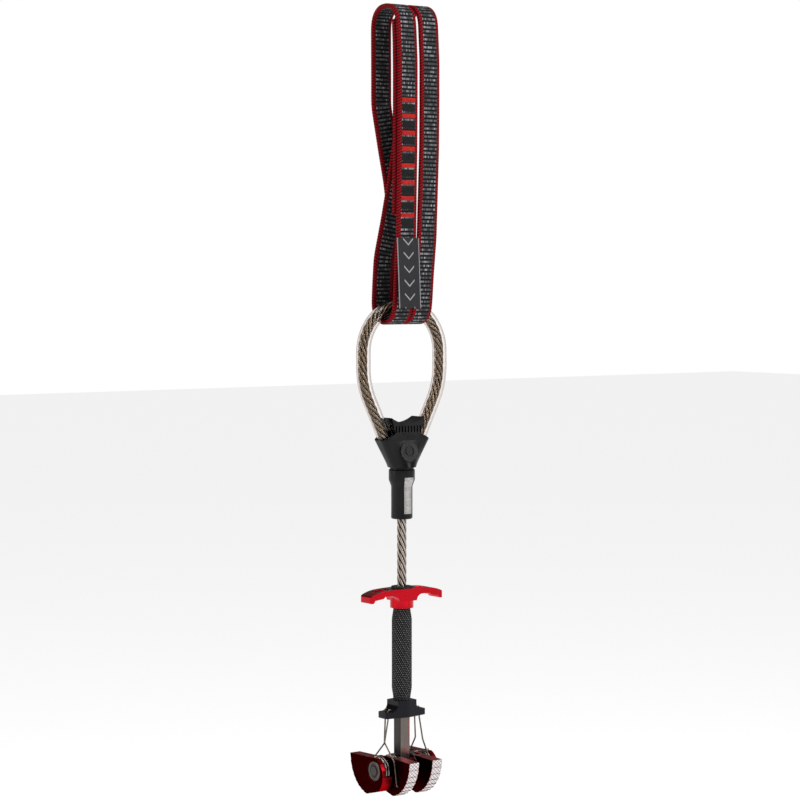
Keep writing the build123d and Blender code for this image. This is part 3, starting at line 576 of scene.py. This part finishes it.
def webbing(name, points, closed, shader, step):
    """A woven band that follows points, its width as near to X as the path allows."""
    runs = tangents_of(points, closed)
    wide = np.array((1.0, 0.0, 0.0)) - runs * runs[:, :1]
    wide /= np.linalg.norm(wide, axis=1)[:, None]
    out = np.cross(wide, runs)
    ring = web_section()
    vertices, uvs = [], []
    for index, (centre, across_dir, out_dir) in enumerate(zip(points, wide, out)):
        along = index * step / MM
        row_wave = abs(math.sin(math.pi * along / ROW_PITCH))
        knot = abs(math.sin(math.pi * along / KNOT_PITCH))
        for across, lift in ring:
            u = across + HALF_WIDTH
            if abs(across) < FACE_HALF:
                yarn = abs(math.sin(math.pi * u / YARN_PITCH))
                bulge = ROW_BULGE * row_wave + YARN_BULGE * yarn - FACE_SINK
                edge = 0.0
            else:
                bulge = KNOT_BULGE * knot - EDGE_SINK
                edge = KNOT_SPREAD * knot * (abs(across) - FACE_HALF) / (HALF_WIDTH - FACE_HALF)
            sign = 1.0 if lift > 0 else -1.0
            amount = min(1.0, abs(lift) / (WEB_THICKNESS / 2))
            lifted = lift + sign * amount * bulge
            spread = across + math.copysign(edge, across)
            vertices.append(centre + (spread * across_dir + lifted * out_dir) * MM)
            uvs.append((u, along))
    faces = grid_faces(len(points), len(ring), wrap_rows=closed, wrap_columns=True)
    if not closed:
        faces.append(tuple(range(len(ring))))
        last = (len(points) - 1) * len(ring)
        faces.append(tuple(last + k for k in range(len(ring)))[::-1])
    return mesh_piece(name, vertices, faces, shader, uvs)


WEB_STEP = 0.5 * MM
web_shader = webbing_material()
loop_points = resample(sling_line(), WEB_STEP, closed=True, smoothing=2.2 * MM)
sling = webbing("sling_band", loop_points, True, web_shader, WEB_STEP)
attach(sling, "sling")
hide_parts("sling_webbing")

lap_line = [
    (-7.3, -10.2, 382.0),
    (-7.9, -11.6, 372.0),
    (-8.1, -12.2, 356.0),
    (-8.1, -12.1, 318.0),
    (-7.6, -10.8, 284.0),
]
lap_points = resample([at(*p) for p in lap_line], WEB_STEP, smoothing=2.0 * MM)
lap = webbing("sling_lap", lap_points, False, web_shader, WEB_STEP)
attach(lap, "sling")


def front_face(height):
    """Centre point, run and outward direction of the near front strand at one height."""
    near_front = [p for p in loop_points if p[0] < 0 and p[1] < -0.006]
    z = datum + height * MM
    best = min(near_front, key=lambda p: abs(p[2] - z))
    above = min(near_front, key=lambda p: abs(p[2] - z - 2 * MM))
    run = above - best
    run /= np.linalg.norm(run)
    out = np.cross(run, np.array((1.0, 0.0, 0.0)))
    out = out if out[1] < 0 else -out
    return best, run, out


TACK_COUNT = 8
TACK_PITCH = 8.25
TACK_TOP_INSET = 1.15
BLACK_STITCH_DROP = 4.15
STITCH_SINK = 0.12
STITCH_ACROSS, STITCH_UP = 96, 8


def stitch_blocks(name, heights, tall, proud, thread, slant, shader):
    """Blocks of satin stitches side by side across the face, each as a ribbed pad."""
    vertices, faces = [], []
    half = FACE_HALF + 0.05
    for height in heights:
        centre, run, out = front_face(height)
        first = len(vertices)
        for i in range(STITCH_UP + 1):
            v = -0.5 + i / STITCH_UP
            for j in range(STITCH_ACROSS + 1):
                u = -half + 2 * half * j / STITCH_ACROSS
                rib = abs(math.sin(math.pi * (u + slant * v * tall) / thread))
                pad = (1 - (2 * abs(v)) ** 6) * (1 - (abs(u) / half) ** 24)
                lift = WEB_THICKNESS / 2 - STITCH_SINK + proud * pad * (0.55 + 0.45 * rib)
                ragged = 0.08 * math.sin(7.3 * j + height) * (2 * abs(v)) ** 3
                across = u * np.array((1.0, 0, 0))
                vertices.append(centre + (across + (v * tall + ragged) * run + lift * out) * MM)
        faces += grid_faces(STITCH_UP + 1, STITCH_ACROSS + 1, first=first)
    return mesh_piece(name, vertices, faces, shader)


tacks_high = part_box("bar_tacks")[1]
tack_heights = [height_of(tacks_high.z) - TACK_TOP_INSET - TACK_PITCH * k for k in range(TACK_COUNT)]
red_thread = thread_material("red_thread", (0.3, 0.006, 0.006), (0.7, 0.03, 0.02))
tacks = stitch_blocks("tack_stitches", tack_heights, 2.35, 0.62, 0.46, 0.22, red_thread)
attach(tacks, "sling")
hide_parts("bar_tacks")

between_tacks = [tack - BLACK_STITCH_DROP for tack in tack_heights]
black_thread = thread_material("black_thread", (0.0015, 0.0015, 0.002), (0.016, 0.016, 0.018))
backing = stitch_blocks("lap_stitches", between_tacks, 5.1, 0.34, 0.52, -0.1, black_thread)
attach(backing, "sling")

# ---------------------------------------------------------------- tag
TAG_ROWS, TAG_COLUMNS = 40, 16
TAG_WIDTH, TAG_LEAN = 13.4, 1.5
TAG_TOP_X = -6.5
TAG_THICKNESS = 0.38
TAG_CURL, TAG_CROWN = 0.25, 0.12
TAG_YARN = 0.32
CHEVRON_PITCH, CHEVRON_HALF, CHEVRON_LINE = 7.0, 3.1, 0.06


def tag_material():
    """Dark woven cloth with pale edges and plain chevrons. UV is millimetres across and down."""
    made = Shader("tag_cloth", (0.05, 0.05, 0.055), 0.0, 0.75)
    made.set("Specular IOR Level", 0.15)
    across, down, _ = made.split(made.uv())
    weave = made.math(
        "MULTIPLY",
        made.math("SINE", made.math("MULTIPLY", across, TAU / TAG_YARN)),
        made.math("SINE", made.math("MULTIPLY", down, TAU / TAG_YARN)),
    )
    from_middle = made.math("ABSOLUTE", made.math("SUBTRACT", across, TAG_WIDTH / 2))
    edge = made.ramp(from_middle, TAG_WIDTH / 2 - 0.42, TAG_WIDTH / 2 - 0.3)
    row = made.math("FRACT", made.math("DIVIDE", made.math("ADD", down, from_middle), CHEVRON_PITCH))
    line = made.math("LESS_THAN", made.math("ABSOLUTE", made.math("SUBTRACT", row, 0.5)), CHEVRON_LINE)
    chevron = made.math("MULTIPLY", line, made.math("LESS_THAN", from_middle, CHEVRON_HALF))
    cloth = made.mix(made.ramp(weave, -0.6, 0.6), (0.018, 0.018, 0.02), (0.05, 0.05, 0.054))
    marked = made.mix(chevron, cloth, (0.4, 0.4, 0.41))
    made.colour(made.mix(edge, marked, (0.4, 0.4, 0.42)))
    made.bump(weave, 0.05 * MM)
    return made


tag_low, tag_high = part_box("sling_tag")
tag_height = (tag_high.z - tag_low.z) / MM
vertices, faces, uvs = [], [], []
for layer in (0, 1):
    for i in range(TAG_ROWS + 1):
        drop = tag_height * i / TAG_ROWS
        for j in range(TAG_COLUMNS + 1):
            u = TAG_WIDTH * (j / TAG_COLUMNS)
            x = TAG_TOP_X + TAG_LEAN * drop / tag_height + u - TAG_WIDTH / 2
            curl = TAG_CURL * math.sin(math.pi * i / TAG_ROWS)
            curl += TAG_CROWN * math.cos(math.pi * (j / TAG_COLUMNS - 0.5))
            y = tag_low.y + (0.1 - curl * 0.4 + TAG_THICKNESS * layer) * MM
            vertices.append((x * MM, y, tag_high.z - drop * MM))
            uvs.append((u, drop))
per_layer = (TAG_ROWS + 1) * (TAG_COLUMNS + 1)
faces += grid_faces(TAG_ROWS + 1, TAG_COLUMNS + 1)
faces += [f[::-1] for f in grid_faces(TAG_ROWS + 1, TAG_COLUMNS + 1, first=per_layer)]
rim = (
    list(range(TAG_COLUMNS))
    + [i * (TAG_COLUMNS + 1) + TAG_COLUMNS for i in range(TAG_ROWS)]
    + [TAG_ROWS * (TAG_COLUMNS + 1) + j for j in range(TAG_COLUMNS, 0, -1)]
    + [i * (TAG_COLUMNS + 1) for i in range(TAG_ROWS, 0, -1)]
)
for a, b in zip(rim, rim[1:] + rim[:1]):
    faces.append((b, a, a + per_layer, b + per_layer))
tag = mesh_piece("front_tag", vertices, faces, tag_material(), uvs)
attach(tag, "sling")
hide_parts("sling_tag")

# ---------------------------------------------------------------- thumb loop and cables
LOOP_RADIUS = 24.2
LOOP_STRAIGHT = 8.0
LOOP_SIDE_RADIUS = 38.0
LOOP_LEAN = 26.0
SIDE_STEPS, TOP_STEPS = 24, 48
LOOP_CABLE_END, LOOP_TUBE_END = 157.0, 166.2
LOOP_CABLE_SHIFT = (-0.25, 0.3)  # the cable lies off the tube's centre


def loop_half(sign, end_height):
    """One side of the thumb loop's centre line, from its end up to the top, in the XZ plane."""
    lean = math.radians(LOOP_LEAN)
    centre_h = LOOP_AXIS - LOOP_RADIUS
    side_h = centre_h - LOOP_STRAIGHT
    arc_centre_x = LOOP_RADIUS - LOOP_SIDE_RADIUS
    leg_x = arc_centre_x + LOOP_SIDE_RADIUS * math.cos(lean)
    leg_h = side_h - LOOP_SIDE_RADIUS * math.sin(lean)
    line = [(leg_x - math.tan(lean) * (leg_h - end_height), end_height), (leg_x, leg_h)]
    for k in range(1, SIDE_STEPS + 1):
        angle = lean * (1 - k / SIDE_STEPS)
        side_x = arc_centre_x + LOOP_SIDE_RADIUS * math.cos(angle)
        line.append((side_x, side_h - LOOP_SIDE_RADIUS * math.sin(angle)))
    for k in range(TOP_STEPS + 1):
        angle = math.pi / 2 * k / TOP_STEPS
        line.append((LOOP_RADIUS * math.cos(angle), centre_h + LOOP_RADIUS * math.sin(angle)))
    return [(sign * x, 0.0, h) for x, h in line]


def loop_points_to(end_height, step, shift=(0.0, 0.0)):
    """The whole thumb loop's centre line down to one height, moved by shift in X and Y."""
    whole = loop_half(-1, end_height) + loop_half(1, end_height)[::-1][1:]
    return resample([at(x + shift[0], y + shift[1], h) for x, y, h in whole], step, smoothing=1.0 * MM)


# the first colour of each cable is the painted shade in the valleys between its strands
cable_dark = strand_material("loop_cable_steel", (0.012, 0.008, 0.006), (0.17, 0.12, 0.08))
cable_bright = strand_material("stem_cable_steel", (0.014, 0.01, 0.008), (0.42, 0.36, 0.31))

cable_low, cable_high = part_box("stem_cable")
CABLE_RADIUS = (cable_high.x - cable_low.x) / 2
CABLE_WIRES = 6
WIRE_RADIUS = 0.8 * MM
CABLE_LAY = 26.0 * MM
CABLE_STEP = 0.7 * MM

loop_cable_points = loop_points_to(LOOP_CABLE_END, CABLE_STEP, LOOP_CABLE_SHIFT)
loop_cable = twisted_cable(
    "loop_cable_wires", loop_cable_points, CABLE_RADIUS, CABLE_WIRES, WIRE_RADIUS, CABLE_LAY, cable_dark
)
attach(loop_cable, "stem")
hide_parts("thumb_loop_cable")

stem_points = resample([np.array((0, 0, cable_low.z)), np.array((0, 0, cable_high.z))], CABLE_STEP)
stem_wires = twisted_cable(
    "stem_cable_wires", stem_points, CABLE_RADIUS, CABLE_WIRES, WIRE_RADIUS, CABLE_LAY, cable_bright
)
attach(stem_wires, "stem")
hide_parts("stem_cable")

TUBE_OUTER, TUBE_INNER = 3.65 * MM, 3.15 * MM
TUBE_STEP, TUBE_SIDES = 1.0 * MM, 40
tube_line = loop_points_to(LOOP_TUBE_END, TUBE_STEP)
outer_vertices, outer_faces = tube_rings(tube_line, TUBE_OUTER, TUBE_SIDES, cap=False)
inner_vertices, inner_faces = tube_rings(tube_line, TUBE_INNER, TUBE_SIDES, len(outer_vertices), cap=False)
tube_faces = outer_faces + [f[::-1] for f in inner_faces]
for ring_start in (0, (len(tube_line) - 1) * TUBE_SIDES):
    for side in range(TUBE_SIDES):
        a = ring_start + side
        b = ring_start + (side + 1) % TUBE_SIDES
        tube_faces.append((a, b, b + len(outer_vertices), a + len(outer_vertices)))
tube = mesh_piece("clear_loop_tube", outer_vertices + inner_vertices, tube_faces, clear_material())
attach(tube, "stem")
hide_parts("thumb_loop_tube")

# ---------------------------------------------------------------- boot, label, terminal
boot_shader = moulded("boot_moulding", (0.004, 0.004, 0.005), 0.3)
boot = refined("boot", "boot_body", boot_shader, 0.7)
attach(boot, "stem")
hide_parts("boot")

label_shader = steel("label_plate", (0.5, 0.48, 0.47), 0.35, (300.0, 300.0, 2600.0), metallic=0.6)
repaint("boot_label", label_shader)

terminal_shader = steel("terminal_bar", (0.3, 0.27, 0.26), 0.3, (1500.0, 1500.0, 60.0))
# painted shade: the faces across X are painted darker than the front and back faces
face_x, _, _ = terminal_shader.split(terminal_shader.normal())
terminal_shaded_side = terminal_shader.ramp(terminal_shader.math("ABSOLUTE", face_x), 0.5, 0.9)
terminal_shader.colour(terminal_shader.mix(terminal_shaded_side, (0.15, 0.132, 0.12), (0.045, 0.04, 0.038)))
repaint("stem_terminal", terminal_shader)
repaint("axle", steel("axle_steel", (0.07, 0.06, 0.055), 0.3, (60.0, 1500.0, 1500.0)))
heads = refined("axle_heads", "axle_discs", turned_disc_material(), 0.2)
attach(heads, "stem")
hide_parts("axle_heads")
repaint("lobe_spacers", moulded("spacer_nylon", (0.03, 0.03, 0.03), 0.5))
repaint("swage_ferrule", steel("ferrule", (0.5, 0.5, 0.5), 0.4))

terminal_low, terminal_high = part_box("stem_terminal")
# painted reflection: a thin red strip along the terminal's edge stands in for a red reflection
STRIPE_WIDTH = 0.5 * MM
STRIPE_INSET = 0.35 * MM
STRIPE_START = 14.0 * MM
STRIPE_END_GAP = 0.5 * MM
STRIPE_PROUD, STRIPE_SUNK = 0.12 * MM, 0.2 * MM
stripe_x = terminal_high.x - STRIPE_INSET
stripe_y = -(terminal_high.x - terminal_low.x) / 2
stripe = []
for z in (axle.z + STRIPE_START, terminal_high.z - STRIPE_END_GAP):
    for x in (stripe_x - STRIPE_WIDTH, stripe_x):
        for y in (stripe_y - STRIPE_PROUD, stripe_y + STRIPE_SUNK):
            stripe.append((x, y, z))
stripe_faces = [(0, 1, 3, 2), (4, 6, 7, 5), (0, 2, 6, 4), (1, 5, 7, 3), (0, 4, 5, 1), (2, 3, 7, 6)]
red_reflection_shader = moulded("red_reflection_paint", (0.75, 0.08, 0.05), 0.4)
red_reflection_strip = mesh_piece("terminal_red_reflection", stripe, stripe_faces, red_reflection_shader, smooth=False)
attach(red_reflection_strip, "stem")

# ---------------------------------------------------------------- trigger group
bar_shader = anodised("bar_anodised", (0.58, 0.004, 0.014), 0.2, metallic=1.0)
bar_shader.set("Coat Weight", 0.15)
bar_shader.set("Coat Roughness", 0.12)
bar = refined("trigger_bar", "trigger_bar_body", bar_shader, 0.45)
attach(bar, "trigger")
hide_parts("trigger_bar")

collar_shader = anodised("collar_anodised", (0.006, 0.006, 0.01), 0.2, metallic=0.7)
collar = refined("wire_collar", "wire_collar_body", collar_shader, 0.3)
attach(collar, "trigger")
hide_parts("wire_collar")
repaint("trigger_bushing", moulded("bushing_black", (0.02, 0.02, 0.022), 0.35))
repaint("guide_tube", moulded("guide_black", (0.03, 0.03, 0.03), 0.4))

sleeve_low, sleeve_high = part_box("braided_sleeve")
hub_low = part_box("trigger_bar")[0].z
collar_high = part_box("wire_collar")[1].z
SLEEVE_MID = (sleeve_high.x - sleeve_low.x) / 2 - 0.12 * MM
SLEEVE_END = 4.35 * MM
BRAID_CARRIERS = 30
BRAID_CYCLE = 1.9 * MM
BRAID_TURN = 9
BRAID_LIFT, BRAID_SINK = 0.26, 0.13
BRAID_ROW = 0.19 * MM
NECK_LENGTH = 7.0 * MM


def sleeve_radius(z):
    """The sleeve's radius, which narrows smoothly towards the collar and the hub."""
    nearest = min(z - collar_high, hub_low - z)
    share = min(1.0, max(0.0, nearest / NECK_LENGTH))
    share = share * share * (3 - 2 * share)
    return SLEEVE_END + (SLEEVE_MID - SLEEVE_END) * share


vertices, uvs = [], []
sleeve_rows = int((sleeve_high.z - sleeve_low.z) / BRAID_ROW)
sleeve_columns = BRAID_CARRIERS * BRAID_TURN
for i in range(sleeve_rows + 1):
    z = sleeve_low.z + (sleeve_high.z - sleeve_low.z) * i / sleeve_rows
    base = sleeve_radius(z)
    climb = (z - sleeve_low.z) / BRAID_CYCLE
    inside_hub = z > hub_low or z < collar_high
    for j in range(sleeve_columns):
        turn = BRAID_CARRIERS * j / sleeve_columns
        first, second = turn + climb, turn - climb
        over = math.floor(first) % 2 == 0
        lift = abs(math.sin(math.pi * first) * math.sin(math.pi * second))
        radius = base if inside_hub else base + (BRAID_LIFT * lift - BRAID_SINK) * MM
        angle = TAU * j / sleeve_columns
        vertices.append((radius * math.cos(angle), radius * math.sin(angle), z))
        uvs.append((lift, 1.0 if over else 0.0))
faces = grid_faces(sleeve_rows + 1, sleeve_columns, wrap_columns=True)
sleeve = mesh_piece("sleeve_braid", vertices, faces, braid_material(), uvs)
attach(sleeve, "trigger")
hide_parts("braided_sleeve")

# ---------------------------------------------------------------- lobes
LOBE_TIP_RADIUS, LOBE_TIP_ANGLE, LOBE_END_ANGLE, CAM_ANGLE = 22.0, 16.5, -64.0, 17.0
TEETH, TOOTH_STEP = 8, 0.35
KNURL_ALONG, KNURL_ACROSS = 0.95, 1.03
KNURL_ROW, KNURL_COLUMNS, KNURL_SHARPNESS = 0.14, 44, 1.7
KNURL_SINK, KNURL_BASE, KNURL_LIFT = 0.05, 0.08, 0.16
FACE_INSET = 0.3


def contact_profile():
    """Both ends of each facet of the toothed face from the tip down, (out, up) in millimetres."""
    growth = math.tan(math.radians(CAM_ANGLE))
    facets = []
    for tooth in range(TEETH):
        ends = []
        for k, inset in ((tooth, 0.0), (tooth + 1, TOOTH_STEP if tooth < TEETH - 1 else 0.0)):
            angle = LOBE_TIP_ANGLE + (LOBE_END_ANGLE - LOBE_TIP_ANGLE) * k / TEETH
            radius = LOBE_TIP_RADIUS * math.exp(math.radians(angle - LOBE_TIP_ANGLE) * growth) - inset
            turn = math.radians(angle)
            ends.append(np.array((radius * math.cos(turn), radius * math.sin(turn))))
        facets.append(ends)
    return facets


def knurled_face(number, side, shader):
    """The knurled skin of one lobe's toothed face, as one grid. U is 0 in the grooves and 1 on the peaks."""
    low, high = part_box(f"cam_lobe_{number}")
    width = (high.x - low.x) / MM - FACE_INSET
    middle = (high.x + low.x) / 2
    vertices, uvs = [], []
    travelled = 0.0
    row_count = 0
    facets = contact_profile()
    for facet, (top, bottom) in enumerate(facets):
        length = np.linalg.norm(bottom - top)
        run = (bottom - top) / length
        outward = np.array((-run[1], run[0]))
        outward = outward if np.dot(outward, top) > 0 else -outward
        rows = max(2, int(length / KNURL_ROW))
        row_count += rows + 1
        for i in range(rows + 1):
            s = length * i / rows
            at_end = (facet == 0 and i == 0) or (facet == len(facets) - 1 and i == rows)
            at_step = i == 0 or i == rows
            for j in range(KNURL_COLUMNS + 1):
                u = width * j / KNURL_COLUMNS
                a = (u / KNURL_ACROSS + (travelled + s) / KNURL_ALONG) / 2
                b = (u / KNURL_ACROSS - (travelled + s) / KNURL_ALONG) / 2
                peak = min(abs(math.sin(math.pi * a)), abs(math.sin(math.pi * b)))
                peak = 0.0 if at_step else min(1.0, peak * KNURL_SHARPNESS)
                border = 0.0 if at_end or j in (0, KNURL_COLUMNS) else 1.0
                lift = -KNURL_SINK + (KNURL_BASE + KNURL_LIFT * peak) * border
                point = top + run * s + outward * lift
                x = middle + (u - width / 2) * MM
                vertices.append((x, side * point[0] * MM, axle.z + point[1] * MM))
                uvs.append((peak * border, 0.0))
        travelled += length
    faces = grid_faces(row_count, KNURL_COLUMNS + 1)
    if side > 0:
        faces = [f[::-1] for f in faces]
    return mesh_piece(f"lobe_face_{number}", vertices, faces, shader, uvs)


lobe_shader = lobe_material()
face_shader = knurl_material()
spring_shader = steel("spring_wire", (0.32, 0.28, 0.26), 0.22)
wire_shader = steel("trigger_wire", (0.2, 0.16, 0.13), 0.3, (900.0, 900.0, 300.0))
for number, side in ((1, 1), (2, -1), (3, -1), (4, 1)):
    lobe = refined(f"cam_lobe_{number}", f"lobe_body_{number}", lobe_shader, 0.22, 2)
    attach(lobe, f"lobe_{number}")
    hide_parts(f"cam_lobe_{number}")
    face = knurled_face(number, side, face_shader)
    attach(face, f"lobe_{number}")
    repaint(f"lobe_spring_{number}", spring_shader)
    repaint(f"trigger_wire_{number}", wire_shader)

# ---------------------------------------------------------------- studio
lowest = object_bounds()[0].z
floor_shader = Shader("floor_paper", (0.45, 0.45, 0.45), 0.0, 0.9)
floor_shader.set("Emission Color", (1.0, 1.0, 1.0, 1.0))
floor_shader.set("Emission Strength", 0.82)
FLOOR_HALF = 6.0
FLOOR_DROP = 0.12
floor_corners = [(-1, -1), (1, -1), (1, 1), (-1, 1)]
floor_points = [(x * FLOOR_HALF, y * FLOOR_HALF, lowest - FLOOR_DROP) for x, y in floor_corners]
floor = mesh_piece("floor", floor_points, [(0, 1, 2, 3)], floor_shader, smooth=False)

world = bpy.data.worlds.new("studio")
world.use_nodes = True
backdrop = world.node_tree.nodes["Background"]
rays = world.node_tree.nodes.new("ShaderNodeLightPath")
seen = world.node_tree.nodes.new("ShaderNodeMath")
seen.operation = "MAXIMUM"
strength = world.node_tree.nodes.new("ShaderNodeMapRange")
strength.inputs["To Min"].default_value = 0.12  # what lights the object
strength.inputs["To Max"].default_value = 1.0  # what is seen, straight or through the clear tube
world.node_tree.links.new(rays.outputs["Is Camera Ray"], seen.inputs[0])
world.node_tree.links.new(rays.outputs["Is Transmission Ray"], seen.inputs[1])
world.node_tree.links.new(seen.outputs[0], strength.inputs["Value"])
world.node_tree.links.new(strength.outputs[0], backdrop.inputs["Strength"])
backdrop.inputs["Color"].default_value = (1.0, 1.0, 1.0, 1.0)
bpy.context.scene.world = world
bpy.context.scene.view_settings.view_transform = "Standard"

LIT_HEIGHT = 0.19
lit_middle = Vector((0.0, 0.0, datum + LIT_HEIGHT))


def softbox(name, azimuth, elevation, distance, size, power):
    """A rectangular area light that faces the middle of the object."""
    data = bpy.data.lights.new(name, "AREA")
    data.shape = "RECTANGLE"
    data.size, data.size_y = size
    data.energy = power
    made = bpy.data.objects.new(name, data)
    a, e = math.radians(azimuth), math.radians(elevation)
    back = Vector((math.sin(a) * math.cos(e), -math.cos(a) * math.cos(e), math.sin(e)))
    made.location = lit_middle + back * distance
    made.rotation_mode = "QUATERNION"
    made.rotation_quaternion = back.to_track_quat("Z", "Y")
    bpy.context.scene.collection.objects.link(made)


softbox("key_right", 30.0, 25.0, 1.1, (0.35, 0.9), 7.0)
softbox("fill_left", -110.0, 15.0, 1.2, (0.3, 1.0), 4.5)
softbox("top", -20.0, 75.0, 1.1, (0.5, 0.5), 5.0)

# ---------------------------------------------------------------- camera
CAMERA_AZIMUTH = math.radians(-36.0)
CAMERA_DISTANCE, CAMERA_HEIGHT = 1.24, 0.254
AIM_SHIFT, AIM_HEIGHT = -0.93 * MM, 0.189
camera_data = bpy.data.cameras.new("camera")
camera_data.sensor_width = 36.0
camera_data.lens = 108.4
camera = bpy.data.objects.new("camera", camera_data)
bpy.context.scene.collection.objects.link(camera)
azimuth_sine, azimuth_cosine = math.sin(CAMERA_AZIMUTH), math.cos(CAMERA_AZIMUTH)
camera.location = (CAMERA_DISTANCE * azimuth_sine, -CAMERA_DISTANCE * azimuth_cosine, datum + CAMERA_HEIGHT)
aim = Vector((AIM_SHIFT * azimuth_cosine, AIM_SHIFT * azimuth_sine, datum + AIM_HEIGHT))
camera.rotation_mode = "QUATERNION"
camera.rotation_quaternion = (aim - camera.location).to_track_quat("-Z", "Y")
camera_data.clip_start, camera_data.clip_end = 0.05, 20.0
bpy.context.scene.camera = camera
